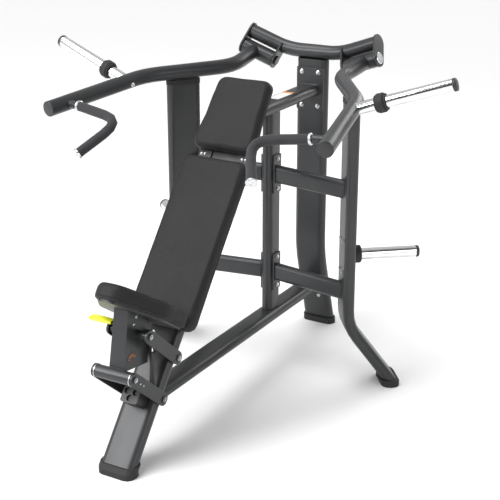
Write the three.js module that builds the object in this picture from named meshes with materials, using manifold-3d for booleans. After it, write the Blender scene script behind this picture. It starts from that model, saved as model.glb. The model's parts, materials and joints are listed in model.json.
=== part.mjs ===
// Plate-loaded shoulder press machine.
// Millimetres, +Z up, +X to the seated user's left, the user faces -Y.
// The origin is on the floor, at the middle of the machine's bounding box.

import * as THREE from 'three';
import { mergeVertices } from 'three/addons/utils/BufferGeometryUtils.js';
import Module from 'manifold-3d';

const wasm = await Module();
wasm.setup();

// ---------------------------------------------------------------- dimensions

const DEG = Math.PI / 180;
const GAP = 0.3;
const WALL = 3;
const TUBE_SIDES = 20;

// Tubes: flat-oval sections are width x depth, round ones a diameter.
const WIDE_OVAL = { width: 150, depth: 50 };
const BEAM_OVAL = { width: 100, depth: 50 };
const CROSS_OVAL = { width: 80, depth: 40 };
const ARM_TUBE = 63.5;
const HORN_BAR = 49;
const GRIP_TUBE = 28;

// Spine: one reclined tube that carries the pads and the seat linkage.
const RECLINE = 38.5 * DEG;
const SPINE = { floorY: -857, top: 1560 };
const FOOT = { wall: 7, rise: 30, frontRise: 40, shoulder: 22, sole: 20 };

// Rear column and the two posts that the arms rest on.
const COLUMN = { y: 723, top: 1316, kneeZ: 410, footY: 845 };
const POST = { x: 405, y: 272, turn: 38 * DEG, top: 1243, kneeZ: 292, footOut: 213 };
const CENTRE_POST_Y = 336;

// Beams and crossbars.
const BASE_BEAM_Z = 228;
const UPPER_BEAM_Z = 1180;
const CROSSBAR = { levels: { upper: 883, lower: 433 }, innerY: 330, outerX: 380, outerY: 271 };
const FLANGE = { thickness: 8, width: 58, height: 168 };
const COLUMN_FLANGE = { thickness: 8, width: 132, height: 190 };

// Top crossbar: a bent round tube whose ends carry the arm pivots.
const TOP_BAR = { midY: 725, midZ: 1348, kneeX: 129, endX: 311, endY: 715, endZ: 1414 };
const PIVOT_DROP = 74;
const PIVOT_PLATE = { radius: 38, thickness: 8 };
const PIVOT_SPAN = 168;
const SLEEVE = { outer: 70, inner: 30.6 };
const AXLE = { shaft: 30, cap: 52, capLength: 6 };

// Arms, given for the left side; the right side is its mirror image.
const ARM = {
  elbow: [260, 457, 1304],
  hip: [502, 117, 1294],
  end: [614, -386, 1238],
  bend: 70,
};
const ARM_HORN = { crossing: [522, 25, 1284], tip: [908, 84, 1413], collarAt: 104 };
const COLLAR = { outer: 76, length: 30 };
const HANDLE = {
  root: [594, -300, 1247],
  ring: [525, -311, 1247],
  knee: [290, -346, 1221],
  end: [383, -501, 1116],
  bend: 88,
};
const GRIP = { outer: 39, ring: 45, ringLength: 12, capLength: 10 };

// Storage horns on the posts.
const STORAGE = { z: 600, tip: 304 };

// Pads, in the spine's own frame: t runs up the spine, n forward of its axis.
const BACK_PAD = { low: 585, high: 1289, halfWidth: 148, front: 91, thickness: 55, corner: 45 };
const HEAD_PAD = {
  low: 1342,
  high: 1648,
  halfLow: 138,
  halfHigh: 120,
  front: 75,
  thickness: 46,
  corner: 40,
};
const BOARD = { thickness: 9, inset: 12 };
const PAD_ROUND = 14;

// Seat linkage, in the spine's frame.
const LINK = { length: 239.6, rise: 11.2, lower: 321, upper: 488, x: 86, width: 52, thickness: 9 };
const PIN = { shaft: 16, head: 27, headLength: 5 };
const CROSS_TUBE = 50;
const PIVOT_BOSS = 34;

// Seat and carriage, in the machine's upright frame.
const SEAT = { tilt: 34 * DEG, frontY: -848, frontZ: 776, length: 360, halfFront: 46, halfRear: 150 };
const SEAT_SHAPE = { flareEnd: 190, thickness: 60, corner: 26 };
const CARRIAGE = { halfWidth: 32, wall: 5, faceTop: [-773, 690], faceLow: [-828, 421] };
const CARRIAGE_REAR = { top: [-632, 600], low: [-672, 400] };
const GAS = { x: 52, low: [-674, 296], high: [-667, 525], body: 22, bodyEnd: 151, rodStart: 79, rod: 10 };
const EYE = { outer: 22, width: 10, stud: 8 };
const BUMPER_BLOCK = { halfWidth: 38, low: 262, high: 326, front: 92, recess: 13, depth: 9 };
const LEVER = { pivot: [-36, -764, 574], reach: 122, width: 46, thickness: 15 };

// ------------------------------------------------------------------- helpers

const vec = (point) => new THREE.Vector3(...point);

function material(color, roughness, metalness) {
  return new THREE.MeshStandardMaterial({ color, roughness, metalness });
}

const finishes = {
  frame: () => material(0x45474a, 0.45, 0.3),
  rubber: () => material(0x1c1c1d, 0.85, 0),
  plastic: () => material(0x202122, 0.55, 0),
  chrome: () => material(0xd8dadc, 0.12, 1),
  aluminium: () => material(0xb9bcc0, 0.35, 0.9),
  leather: () => material(0x424244, 0.6, 0),
  grip: () => material(0x26262a, 0.8, 0),
  lever: () => material(0xe2ea18, 0.4, 0),
};

// A closed three.js geometry as a manifold solid, and back again.
function solid(geometry) {
  const bare = geometry.index ? geometry.toNonIndexed() : geometry.clone();
  bare.deleteAttribute('normal');
  bare.deleteAttribute('uv');
  const merged = mergeVertices(bare, 1e-4);
  return new wasm.Manifold(new wasm.Mesh({
    numProp: 3,
    vertProperties: new Float32Array(merged.attributes.position.array),
    triVerts: new Uint32Array(merged.index.array),
  }));
}

function geometryOf(body) {
  const mesh = body.getMesh();
  const geometry = new THREE.BufferGeometry();
  geometry.setAttribute('position', new THREE.BufferAttribute(new Float32Array(mesh.vertProperties), 3));
  geometry.setIndex(new THREE.BufferAttribute(new Uint32Array(mesh.triVerts), 1));
  geometry.computeVertexNormals();
  return geometry;
}

// Mirror image across the X = 0 plane, with its faces still pointing out.
function mirrored(geometry) {
  const copy = geometry.index ? geometry.toNonIndexed() : geometry.clone();
  const position = copy.attributes.position;
  for (let i = 0; i < position.count; i += 3) {
    const a = new THREE.Vector3().fromBufferAttribute(position, i);
    const b = new THREE.Vector3().fromBufferAttribute(position, i + 1);
    const c = new THREE.Vector3().fromBufferAttribute(position, i + 2);
    position.setXYZ(i, -a.x, a.y, a.z);
    position.setXYZ(i + 1, -c.x, c.y, c.z);
    position.setXYZ(i + 2, -b.x, b.y, b.z);
  }
  return copy;
}

// Matrix that puts local Z along a direction, with local X as near to xHint as it can be.
function aimed(origin, direction, xHint) {
  const z = vec(direction).normalize();
  const hint = xHint ?? (Math.abs(z.x) < 0.9 ? [1, 0, 0] : [0, 1, 0]);
  const y = new THREE.Vector3().crossVectors(z, vec(hint)).normalize();
  const x = new THREE.Vector3().crossVectors(y, z);
  return new THREE.Matrix4().makeBasis(x, y, z).setPosition(vec(origin));
}

const shift = (point, x) => [point[0] + x, point[1], point[2]];

function between(low, high) {
  return vec(high).sub(vec(low)).toArray();
}

// A point on the way from one point to another, at a distance from the first.
function along(from, to, distance) {
  return vec(from).addScaledVector(vec(to).sub(vec(from)).normalize(), distance).toArray();
}

function ovalShape(width, depth, segments = 6) {
  const radius = depth / 2;
  const reach = width / 2 - radius;
  const points = [];
  for (let i = 0; i <= segments; i += 1) {
    const angle = -Math.PI / 2 + Math.PI * i / segments;
    points.push(new THREE.Vector2(reach + radius * Math.cos(angle), radius * Math.sin(angle)));
  }
  for (let i = 0; i <= segments; i += 1) {
    const angle = Math.PI / 2 + Math.PI * i / segments;
    points.push(new THREE.Vector2(-reach + radius * Math.cos(angle), radius * Math.sin(angle)));
  }
  return new THREE.Shape(points);
}

// Swept sections start a quarter turn round, so their width is laid along shape y.
function quarterTurn(shape) {
  return new THREE.Shape(shape.getPoints().map((point) => new THREE.Vector2(-point.y, point.x)));
}

function discShape(radius, segments = 16) {
  const points = [];
  for (let i = 0; i < segments; i += 1) {
    const angle = 2 * Math.PI * i / segments;
    points.push(new THREE.Vector2(radius * Math.cos(angle), radius * Math.sin(angle)));
  }
  return new THREE.Shape(points);
}

function withHole(outer, inner) {
  outer.holes.push(new THREE.Path(inner.getPoints()));
  return outer;
}

function ovalTube(section) {
  const bore = ovalShape(section.width - 2 * WALL, section.depth - 2 * WALL);
  return withHole(ovalShape(section.width, section.depth), bore);
}

function turnedOvalTube(section) {
  const bore = quarterTurn(ovalShape(section.width - 2 * WALL, section.depth - 2 * WALL));
  return withHole(quarterTurn(ovalShape(section.width, section.depth)), bore);
}

function roundTube(outer, inner) {
  return withHole(discShape(outer / 2, TUBE_SIDES), discShape(inner / 2, 12));
}

// A straight prism: shape x runs along xHint, and the length along the axis.
function bar(shape, from, to, xHint) {
  const length = vec(to).distanceTo(vec(from));
  const prism = new THREE.ExtrudeGeometry(shape, { depth: length, bevelEnabled: false });
  return prism.applyMatrix4(aimed(from, between(from, to), xHint));
}

// A path of straight runs and rounded corners, with stations only where it needs them.
class BentPath extends THREE.Curve {
  constructor(points, bend, turns = 4) {
    super();
    const corners = points.map(vec);
    const headings = corners.slice(1).map((corner, i) => corner.clone().sub(corners[i]).normalize());
    this.stations = [{ point: corners[0], heading: headings[0] }];
    for (let i = 1; i < corners.length - 1; i += 1) {
      const before = corners[i].clone().addScaledVector(headings[i - 1], -bend);
      const after = corners[i].clone().addScaledVector(headings[i], bend);
      const arc = new THREE.QuadraticBezierCurve3(before, corners[i], after);
      for (let k = 0; k <= turns; k += 1) {
        this.stations.push({ point: arc.getPoint(k / turns), heading: arc.getTangent(k / turns) });
      }
    }
    this.stations.push({ point: corners.at(-1), heading: headings.at(-1) });
    this.steps = this.stations.length - 1;
  }

  getPointAt(u, target = new THREE.Vector3()) {
    return target.copy(this.stations[Math.round(u * this.steps)].point);
  }

  getTangentAt(u, target = new THREE.Vector3()) {
    return target.copy(this.stations[Math.round(u * this.steps)].heading);
  }
}

function sweep(shape, path) {
  return new THREE.ExtrudeGeometry(shape, { steps: path.steps, extrudePath: path, bevelEnabled: false });
}

function cylinder(radius, from, to, segments = 16) {
  return bar(discShape(radius, segments), from, to);
}

// A turned piece: radius and distance pairs from its start, along an axis.
function turned(profile, from, direction, segments = 16) {
  const outline = profile.map(([radius, distance]) => new THREE.Vector2(radius, distance));
  const lathe = new THREE.LatheGeometry(outline, segments);
  lathe.rotateX(Math.PI / 2);
  return lathe.applyMatrix4(aimed(from, direction));
}

function block(low, high) {
  const size = high.map((value, axis) => value - low[axis]);
  const middle = high.map((value, axis) => (value + low[axis]) / 2);
  return new THREE.BoxGeometry(...size).translate(...middle);
}

// Removes everything on the side of a plane that its direction points to.
function trimmed(body, point, direction) {
  const reach = 4000;
  const slab = new THREE.BoxGeometry(reach, reach, reach).translate(0, 0, reach / 2);
  return body.subtract(solid(slab.applyMatrix4(aimed(point, direction, [0.3, 0.5, 0.8]))));
}

function roundedPlan(points, corner, segments = 4) {
  const shape = new THREE.Shape();
  const count = points.length;
  const outline = [];
  for (let i = 0; i < count; i += 1) {
    const here = new THREE.Vector2(...points[i]);
    const before = new THREE.Vector2(...points[(i + count - 1) % count]).sub(here).normalize();
    const after = new THREE.Vector2(...points[(i + 1) % count]).sub(here).normalize();
    const start = here.clone().addScaledVector(before, corner);
    const end = here.clone().addScaledVector(after, corner);
    outline.push(...new THREE.QuadraticBezierCurve(start, here, end).getPoints(segments));
  }
  shape.setFromPoints(outline);
  return shape;
}

const machine = new THREE.Group();

function add(name, finish, geometry, parent = machine) {
  const mesh = new THREE.Mesh(geometry, finish());
  mesh.name = name;
  parent.add(mesh);
  return mesh;
}

function addPair(stem, finish, geometry) {
  add(`left_${stem}`, finish, geometry);
  add(`right_${stem}`, finish, mirrored(geometry));
}

// Points of the spine's frame in the machine's frame: t up the spine, n forward.
const up = [0, Math.sin(RECLINE), Math.cos(RECLINE)];
const forward = [0, -Math.cos(RECLINE), Math.sin(RECLINE)];

function onSpine(x, n, t) {
  return [
    x,
    SPINE.floorY + n * forward[1] + t * up[1],
    n * forward[2] + t * up[2],
  ];
}

// --------------------------------------------------------------------- frame

// A rubber boot around the foot of a slanting tube, with upright sides below its shoulder.
function boot(section, path, xHint, rise) {
  const [above, below] = path;
  const slant = vec(below).sub(vec(above)).normalize();
  const far = along(above, below, vec(above).distanceTo(vec(below)) + 120);
  const outer = ovalShape(section.width + 2 * FOOT.wall, section.depth + 2 * FOOT.wall);
  const inner = ovalShape(section.width + 2 * GAP, section.depth + 2 * GAP);
  let body = solid(bar(outer, above, far, xHint));
  body = trimmed(body, [0, 0, rise], [0, 0, 1]);
  body = trimmed(body, [0, 0, FOOT.shoulder], [0, 0, -1]);
  const level = new THREE.Shape(outer.getPoints().map((p) => new THREE.Vector2(p.x, -p.y / slant.z)));
  const centre = vec(below).addScaledVector(slant, FOOT.shoulder / slant.z).toArray();
  const base = bar(level, [centre[0], centre[1], 0], [centre[0], centre[1], FOOT.shoulder + 0.5], xHint);
  let pocket = solid(bar(inner, above, far, xHint));
  pocket = trimmed(pocket, [0, 0, FOOT.sole], [0, 0, -1]);
  return body.add(solid(base)).subtract(pocket);
}

function spine() {
  const tube = bar(ovalTube(WIDE_OVAL), onSpine(0, 0, -80), onSpine(0, 0, SPINE.top), [1, 0, 0]);
  let body = trimmed(solid(tube), [0, 0, FOOT.sole + GAP], [0, 0, -1]);
  for (const t of [LINK.lower, LINK.upper]) {
    const reach = LINK.x - LINK.thickness / 2 - 1;
    const boss = cylinder(PIVOT_BOSS / 2 + 2, onSpine(-reach, 0, t), onSpine(reach, 0, t));
    const bore = cylinder(PIN.shaft / 2 + GAP, onSpine(-120, 0, t), onSpine(120, 0, t));
    body = body.add(solid(boss)).subtract(solid(bore));
  }
  return geometryOf(body.add(bumperBlock()).add(springLug()));
}

// The block on the spine's front, between the lower links, with three round bumper seats.
function bumperBlock() {
  const { halfWidth, low, high, front, recess, depth } = BUMPER_BLOCK;
  const corners = [[-halfWidth, low], [halfWidth, low], [halfWidth, high], [-halfWidth, high]];
  const plan = roundedPlan(corners, 12);
  const start = WIDE_OVAL.depth / 2 - 1;
  const slab = new THREE.ExtrudeGeometry(plan, { depth: front - start, bevelEnabled: false });
  let body = solid(slab.applyMatrix4(aimed(onSpine(0, start, 0), forward, [1, 0, 0])));
  for (const [x, t] of [[-19, high - 19], [19, high - 19], [0, low + 19]]) {
    const seat = cylinder(recess, onSpine(x, front - depth, t), onSpine(x, front + depth, t));
    body = body.subtract(solid(seat));
  }
  return body;
}

// A lug welded to the spine, with the stud that the gas spring's lower eye turns on.
function springLug() {
  const inner = GAS.x - GAS.body / 2 - 1;
  const [y, z] = GAS.low;
  const foot = vec([inner, y, z]).addScaledVector(vec(forward), -24).toArray();
  const plate = bar(ovalShape(70, 26, 6), shift(foot, -7), shift(foot, 0), forward);
  const stud = cylinder(EYE.stud / 2, [inner - 3, y, z], [GAS.x + EYE.width / 2 + 4, y, z], 12);
  return solid(plate).add(solid(stud));
}

function column() {
  const top = [0, 0, COLUMN.top];
  const knee = [0, 0, COLUMN.kneeZ];
  const low = [0, COLUMN.footY - COLUMN.y, 0];
  const far = along(knee, low, vec(knee).distanceTo(vec(low)) + 60);
  const path = new BentPath([top, knee, far], 80);
  let body = solid(sweep(turnedOvalTube(WIDE_OVAL), path).translate(0, COLUMN.y, 0));
  body = trimmed(body, [0, 0, FOOT.sole + GAP], [0, 0, -1]);
  const middle = [0, TOP_BAR.midY, TOP_BAR.midZ];
  const saddle = cylinder(ARM_TUBE / 2 + GAP, shift(middle, -200), shift(middle, 200), 24);
  return body.subtract(solid(saddle));
}

function columnAxis() {
  return [[0, COLUMN.y, COLUMN.kneeZ], [0, COLUMN.footY, 0]];
}

const spineAxis = [onSpine(0, 0, 200), onSpine(0, 0, 0)];
const frontBoot = boot(WIDE_OVAL, spineAxis, [1, 0, 0], FOOT.frontRise);
const rearBoot = boot(WIDE_OVAL, columnAxis(), [1, 0, 0], FOOT.rise);
add('front_spine', finishes.frame, spine());
add('front_foot', finishes.rubber, geometryOf(frontBoot));
add('rear_column', finishes.frame, geometryOf(column()));
add('rear_foot', finishes.rubber, geometryOf(rearBoot));

// The base beam runs from the back of the spine to the front of the column.
function baseBeam() {
  const from = [0, SPINE.floorY, BASE_BEAM_Z];
  const to = [0, COLUMN.footY + 60, BASE_BEAM_Z];
  let body = solid(bar(ovalTube(BEAM_OVAL), from, to, [1, 0, 0]));
  body = trimmed(body, onSpine(0, -WIDE_OVAL.depth / 2 - GAP, 0), forward);
  const [knee, low] = columnAxis();
  const slope = vec(low).sub(vec(knee)).normalize();
  const rearward = [0, -slope.z, slope.y];
  const face = vec(knee).addScaledVector(vec(rearward), -WIDE_OVAL.depth / 2 - GAP);
  return trimmed(body, face.toArray(), rearward);
}

add('base_beam', finishes.frame, geometryOf(baseBeam()));

const beamTop = BASE_BEAM_Z + BEAM_OVAL.depth / 2;
const upperBeamLow = UPPER_BEAM_Z - BEAM_OVAL.depth / 2;
add('centre_post', finishes.frame, bar(
  ovalTube(BEAM_OVAL),
  [0, CENTRE_POST_Y, beamTop + GAP],
  [0, CENTRE_POST_Y, upperBeamLow - GAP],
  [0, 1, 0],
));

function upperBeam() {
  const columnFace = COLUMN.y - WIDE_OVAL.depth / 2 - GAP;
  const plateFace = columnFace - COLUMN_FLANGE.thickness;
  const from = [0, SPINE.floorY + 800, UPPER_BEAM_Z];
  const tube = solid(bar(ovalTube(BEAM_OVAL), from, [0, columnFace, UPPER_BEAM_Z], [1, 0, 0]));
  const half = COLUMN_FLANGE.width / 2;
  const low = [-half, plateFace, UPPER_BEAM_Z + 5 - COLUMN_FLANGE.height / 2];
  const high = [half, columnFace, UPPER_BEAM_Z + 5 + COLUMN_FLANGE.height / 2];
  const body = tube.add(solid(block(low, high)));
  return trimmed(body, onSpine(0, -WIDE_OVAL.depth / 2 - GAP, 0), forward);
}

add('upper_beam', finishes.frame, geometryOf(upperBeam()));

// --------------------------------------------------------------------- posts

// Post frame: local X is the post's thin direction, turned outward and rearward.
function inPostFrame(geometry) {
  return geometry.rotateZ(POST.turn).translate(POST.x, POST.y, 0);
}

function postBody() {
  const points = [[0, 0, POST.top], [0, 0, POST.kneeZ], [POST.footOut * 1.25, 0, -POST.kneeZ * 0.25]];
  const body = solid(sweep(ovalTube(WIDE_OVAL), new BentPath(points, 70)));
  return trimmed(body, [0, 0, FOOT.sole + GAP], [0, 0, -1]);
}

const postGeometry = inPostFrame(geometryOf(postBody()));
addPair('post', finishes.frame, postGeometry);
addPair('post_foot', finishes.rubber, inPostFrame(geometryOf(
  boot(WIDE_OVAL, [[0, 0, POST.kneeZ], [POST.footOut, 0, 0]], [0, 1, 0], FOOT.rise),
)));

// A bumper on each post's top carries the resting arm.
const armRestTop = 1263.5;
const armRest = bar(
  ovalShape(WIDE_OVAL.width + 4, WIDE_OVAL.depth + 4),
  [0, 0, POST.top + GAP],
  [0, 0, armRestTop],
  [0, 1, 0],
);
addPair('arm_rest', finishes.rubber, inPostFrame(armRest));

// ----------------------------------------------------------------- crossbars

// Flat face of the left post that looks towards the middle of the machine.
const postInward = [-Math.cos(POST.turn), -Math.sin(POST.turn), 0];
const postInnerFace = vec([POST.x, POST.y, 0]).addScaledVector(vec(postInward), WIDE_OVAL.depth / 2 + GAP);

function crossbar(z) {
  const postSide = BEAM_OVAL.depth / 2 + GAP;
  const inner = [0, CROSSBAR.innerY + 5, z];
  const outer = [CROSSBAR.outerX + 60, CROSSBAR.outerY - 10, z];
  const tube = solid(bar(ovalTube(CROSS_OVAL), inner, outer, [0, 0, 1]));
  const flange = block(
    [postSide, CENTRE_POST_Y - FLANGE.width / 2, z - FLANGE.height / 2],
    [postSide + FLANGE.thickness, CENTRE_POST_Y + FLANGE.width / 2, z + FLANGE.height / 2],
  );
  const core = solid(bar(
    ovalShape(CROSS_OVAL.width - 2 * WALL, CROSS_OVAL.depth - 2 * WALL),
    inner,
    outer,
    [0, 0, 1],
  ));
  let body = tube.add(solid(flange)).subtract(core);
  body = trimmed(body, [postSide, 0, 0], [-1, 0, 0]);
  return trimmed(body, postInnerFace.toArray(), postInward.map((value) => -value));
}

for (const [level, z] of Object.entries(CROSSBAR.levels)) {
  addPair(`${level}_crossbar`, finishes.frame, geometryOf(crossbar(z)));
}

// ------------------------------------------------------------- storage horns

const postFace = WIDE_OVAL.depth / 2 + GAP;
const storageStart = [postFace, 0, STORAGE.z];
const hornProfile = (length) => [
  [0, 0],
  [HORN_BAR / 2, 0],
  [HORN_BAR / 2, length - 4],
  [HORN_BAR / 2 - 4, length],
  [0, length],
];
addPair('storage_horn', finishes.chrome, inPostFrame(
  turned(hornProfile(STORAGE.tip - postFace), storageStart, [1, 0, 0]),
));

function ring(outer, inner, from, direction, length) {
  const edge = Math.min(3, length / 4);
  const profile = [
    [inner / 2, 0],
    [outer / 2 - edge, 0],
    [outer / 2, edge],
    [outer / 2, length - edge],
    [outer / 2 - edge, length],
    [inner / 2, length],
    [inner / 2, 0],
  ];
  return turned(profile, from, direction);
}

addPair('storage_collar', finishes.rubber, inPostFrame(
  ring(COLLAR.outer, HORN_BAR + 2 * GAP, storageStart, [1, 0, 0], COLLAR.length),
));

// --------------------------------------------------------------- top crossbar

const topBarPoints = [
  [-TOP_BAR.endX, TOP_BAR.endY, TOP_BAR.endZ],
  [-TOP_BAR.kneeX, TOP_BAR.midY, TOP_BAR.midZ],
  [TOP_BAR.kneeX, TOP_BAR.midY, TOP_BAR.midZ],
  [TOP_BAR.endX, TOP_BAR.endY, TOP_BAR.endZ],
];
const topBarPath = new BentPath(topBarPoints, 60);
add('top_crossbar', finishes.frame, sweep(roundTube(ARM_TUBE, ARM_TUBE - 2 * WALL), topBarPath));

// Pivot frame of the left arm: the axle runs parallel to the bar's end.
const barEnd = vec(topBarPoints[3]);
const axis = vec(topBarPoints[3]).sub(vec(topBarPoints[2])).normalize();
const drop = new THREE.Vector3(0, -0.49, -0.87);
drop.addScaledVector(axis, -drop.dot(axis)).normalize();

// A point of the pivot frame: u along the axle from the bar's end, v down the plate.
function atPivot(u, v) {
  return barEnd.clone().addScaledVector(axis, u).addScaledVector(drop, v).toArray();
}

function pivotPlate(start, holeRadius) {
  const shape = ovalShape(PIVOT_DROP + 2 * PIVOT_PLATE.radius, 2 * PIVOT_PLATE.radius, 10);
  const from = atPivot(start, PIVOT_DROP / 2);
  const plate = bar(shape, from, atPivot(start + PIVOT_PLATE.thickness, PIVOT_DROP / 2), drop.toArray());
  const hole = cylinder(holeRadius, atPivot(start - 20, PIVOT_DROP), atPivot(start + 40, PIVOT_DROP));
  return solid(plate).subtract(solid(hole));
}

const axleHole = AXLE.shaft / 2 + GAP;
const innerPlateAt = -PIVOT_SPAN;
const barClearance = solid(sweep(discShape(ARM_TUBE / 2 + GAP, TUBE_SIDES), topBarPath));
addPair('outer_pivot_plate', finishes.frame, geometryOf(pivotPlate(GAP, axleHole)));
const barSide = drop.toArray().map((value) => -value);
const hungPlate = pivotPlate(innerPlateAt, axleHole).subtract(barClearance);
addPair('inner_pivot_plate', finishes.frame, geometryOf(trimmed(hungPlate, atPivot(0, -6), barSide)));

// Axle with a shoulder at the inner plate and a wide cap outside the outer one.
const axleStart = innerPlateAt - 8;
const axleOut = PIVOT_PLATE.thickness + 2 * GAP;
addPair('pivot_axle', finishes.chrome, turned([
  [0, 0],
  [AXLE.shaft / 2 + 6, 0],
  [AXLE.shaft / 2 + 6, -axleStart + innerPlateAt - GAP],
  [AXLE.shaft / 2, -axleStart + innerPlateAt - GAP],
  [AXLE.shaft / 2, -axleStart + axleOut],
  [AXLE.cap / 2, -axleStart + axleOut],
  [AXLE.cap / 2, -axleStart + axleOut + AXLE.capLength - 2],
  [AXLE.cap / 2 - 2, -axleStart + axleOut + AXLE.capLength],
  [0, -axleStart + axleOut + AXLE.capLength],
], atPivot(axleStart, PIVOT_DROP), axis.toArray()));

// ---------------------------------------------------------------------- arms

const sleeveStart = innerPlateAt + PIVOT_PLATE.thickness + 3;
const sleeveEnd = -3;
const armRoot = atPivot(-58, PIVOT_DROP);
const armPath = new BentPath([armRoot, ARM.elbow, ARM.hip, ARM.end], ARM.bend);
const handleStart = along(HANDLE.ring, HANDLE.knee, -10);
const handlePath = new BentPath([handleStart, HANDLE.knee, HANDLE.end], HANDLE.bend);

function armBody() {
  const tube = solid(sweep(roundTube(ARM_TUBE, ARM_TUBE - 2 * WALL), armPath));
  const sleeveEnds = [atPivot(sleeveStart, PIVOT_DROP), atPivot(sleeveEnd, PIVOT_DROP)];
  const sleeve = solid(cylinder(SLEEVE.outer / 2, ...sleeveEnds, TUBE_SIDES));
  const bore = solid(cylinder(SLEEVE.inner / 2, atPivot(-300, PIVOT_DROP), atPivot(60, PIVOT_DROP)));
  const stub = solid(cylinder(17, HANDLE.root, along(HANDLE.ring, HANDLE.root, 3)));
  const handle = solid(sweep(discShape(GRIP_TUBE / 2, 12), handlePath));
  const hornSeat = solid(cylinder(HORN_BAR / 2 + GAP, ARM_HORN.crossing, ARM_HORN.tip));
  return tube.add(sleeve).subtract(bore).add(stub).add(handle).subtract(hornSeat);
}

addPair('arm', finishes.frame, geometryOf(armBody()));

const armBack = between(ARM.end, ARM.hip);
addPair('arm_plug', finishes.plastic, turned([
  [0, -5],
  [ARM_TUBE / 2 - 4, -5],
  [ARM_TUBE / 2, -2],
  [ARM_TUBE / 2, -GAP],
  [ARM_TUBE / 2 - WALL - 1, -GAP],
  [ARM_TUBE / 2 - WALL - 1, 20],
  [0, 20],
], ARM.end, armBack));

const hornDirection = between(ARM_HORN.crossing, ARM_HORN.tip);
const hornLength = vec(hornDirection).length();
addPair('arm_horn', finishes.chrome, turned(hornProfile(hornLength), ARM_HORN.crossing, hornDirection));
addPair('arm_horn_collar', finishes.rubber, ring(
  COLLAR.outer,
  HORN_BAR + 2 * GAP,
  along(ARM_HORN.crossing, ARM_HORN.tip, ARM_HORN.collarAt),
  hornDirection,
  COLLAR.length,
));

// A foam grip over the handle, between two aluminium end pieces.
function grip() {
  const start = along(HANDLE.ring, HANDLE.knee, GRIP.ringLength + 2 * GAP);
  const path = new BentPath([start, HANDLE.knee, HANDLE.end], HANDLE.bend);
  return sweep(roundTube(GRIP.outer, GRIP_TUBE + 2), path);
}

addPair('grip', finishes.grip, grip());
addPair('grip_ring', finishes.aluminium, ring(
  GRIP.ring,
  GRIP_TUBE + 2,
  along(HANDLE.ring, HANDLE.knee, GAP),
  between(HANDLE.ring, HANDLE.knee),
  GRIP.ringLength,
));
addPair('grip_end_cap', finishes.aluminium, turned([
  [0, 0],
  [GRIP.ring / 2 - 2, 0],
  [GRIP.ring / 2, 2],
  [GRIP.ring / 2, GRIP.capLength - 2],
  [GRIP.ring / 2 - 2, GRIP.capLength],
  [0, GRIP.capLength],
], along(HANDLE.end, HANDLE.knee, -GAP), between(HANDLE.knee, HANDLE.end)));

// ---------------------------------------------------------------------- pads

// A slab with softened front and rear edges, from z = 0 to its thickness.
function cushion(points, corner, thickness) {
  const slab = new THREE.ExtrudeGeometry(roundedPlan(points, corner), {
    depth: thickness - 2 * PAD_ROUND,
    bevelThickness: PAD_ROUND,
    bevelSize: PAD_ROUND,
    bevelOffset: -PAD_ROUND,
    bevelSegments: 2,
  });
  return slab.translate(0, 0, PAD_ROUND);
}

function board(points, corner, thickness) {
  return new THREE.ExtrudeGeometry(roundedPlan(points, corner), { depth: thickness, bevelEnabled: false });
}

// The plan of a pad on the spine is drawn in x and t, and its thickness lies along n.
function ontoSpine(slab, rear) {
  return slab.applyMatrix4(aimed(onSpine(0, rear, 0), forward, [1, 0, 0]));
}

function padPlan(pad, inset) {
  const low = pad.halfLow ?? pad.halfWidth;
  const high = pad.halfHigh ?? pad.halfWidth;
  return [
    [-low + inset, pad.low + inset],
    [low - inset, pad.low + inset],
    [high - inset, pad.high - inset],
    [-high + inset, pad.high - inset],
  ];
}

for (const [name, pad] of [['back', BACK_PAD], ['head', HEAD_PAD]]) {
  const rear = pad.front - pad.thickness;
  const soft = cushion(padPlan(pad, 0), pad.corner, pad.thickness);
  add(`${name}_pad`, finishes.leather, ontoSpine(soft, rear));
  const boardRear = WIDE_OVAL.depth / 2 + GAP;
  const slab = board(padPlan(pad, BOARD.inset), pad.corner, rear - GAP - boardRear);
  add(`${name}_board`, finishes.plastic, ontoSpine(slab, boardRear));
}

// -------------------------------------------------------------- seat linkage

const carriageLow = onSpine(0, LINK.length, LINK.lower + LINK.rise);
const carriageHigh = onSpine(0, LINK.length, LINK.upper + LINK.rise);

function link(t, end) {
  const start = onSpine(0, 0, t);
  const length = vec(start).distanceTo(vec(end));
  const inner = LINK.x - LINK.thickness / 2;
  const outer = LINK.x + LINK.thickness / 2;
  const middle = vec(start).add(vec(end)).multiplyScalar(0.5).toArray();
  const outline = ovalShape(length + LINK.width, LINK.width, 8);
  const plate = bar(outline, shift(middle, inner), shift(middle, outer), between(start, end));
  const holes = [start, end].map((point) => (
    solid(cylinder(PIN.shaft / 2 + GAP, shift(point, inner - 5), shift(point, outer + 5)))
  ));
  return geometryOf(solid(plate).subtract(holes[0]).subtract(holes[1]));
}

addPair('lower_link', finishes.frame, link(LINK.lower, carriageLow));
addPair('upper_link', finishes.frame, link(LINK.upper, carriageHigh));

// A pin through both links, with a head at each end.
function pin(point) {
  const half = LINK.x + LINK.thickness / 2 + GAP;
  const end = half + PIN.headLength;
  return turned([
    [0, -end],
    [PIN.head / 2 - 2, -end],
    [PIN.head / 2, -end + 2],
    [PIN.head / 2, -half],
    [PIN.shaft / 2, -half],
    [PIN.shaft / 2, half],
    [PIN.head / 2, half],
    [PIN.head / 2, end - 2],
    [PIN.head / 2 - 2, end],
    [0, end],
  ], point, [1, 0, 0]);
}

add('lower_spine_pin', finishes.chrome, pin(onSpine(0, 0, LINK.lower)));
add('upper_spine_pin', finishes.chrome, pin(onSpine(0, 0, LINK.upper)));
add('lower_carriage_pin', finishes.chrome, pin(carriageLow));
add('upper_carriage_pin', finishes.chrome, pin(carriageHigh));

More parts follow.
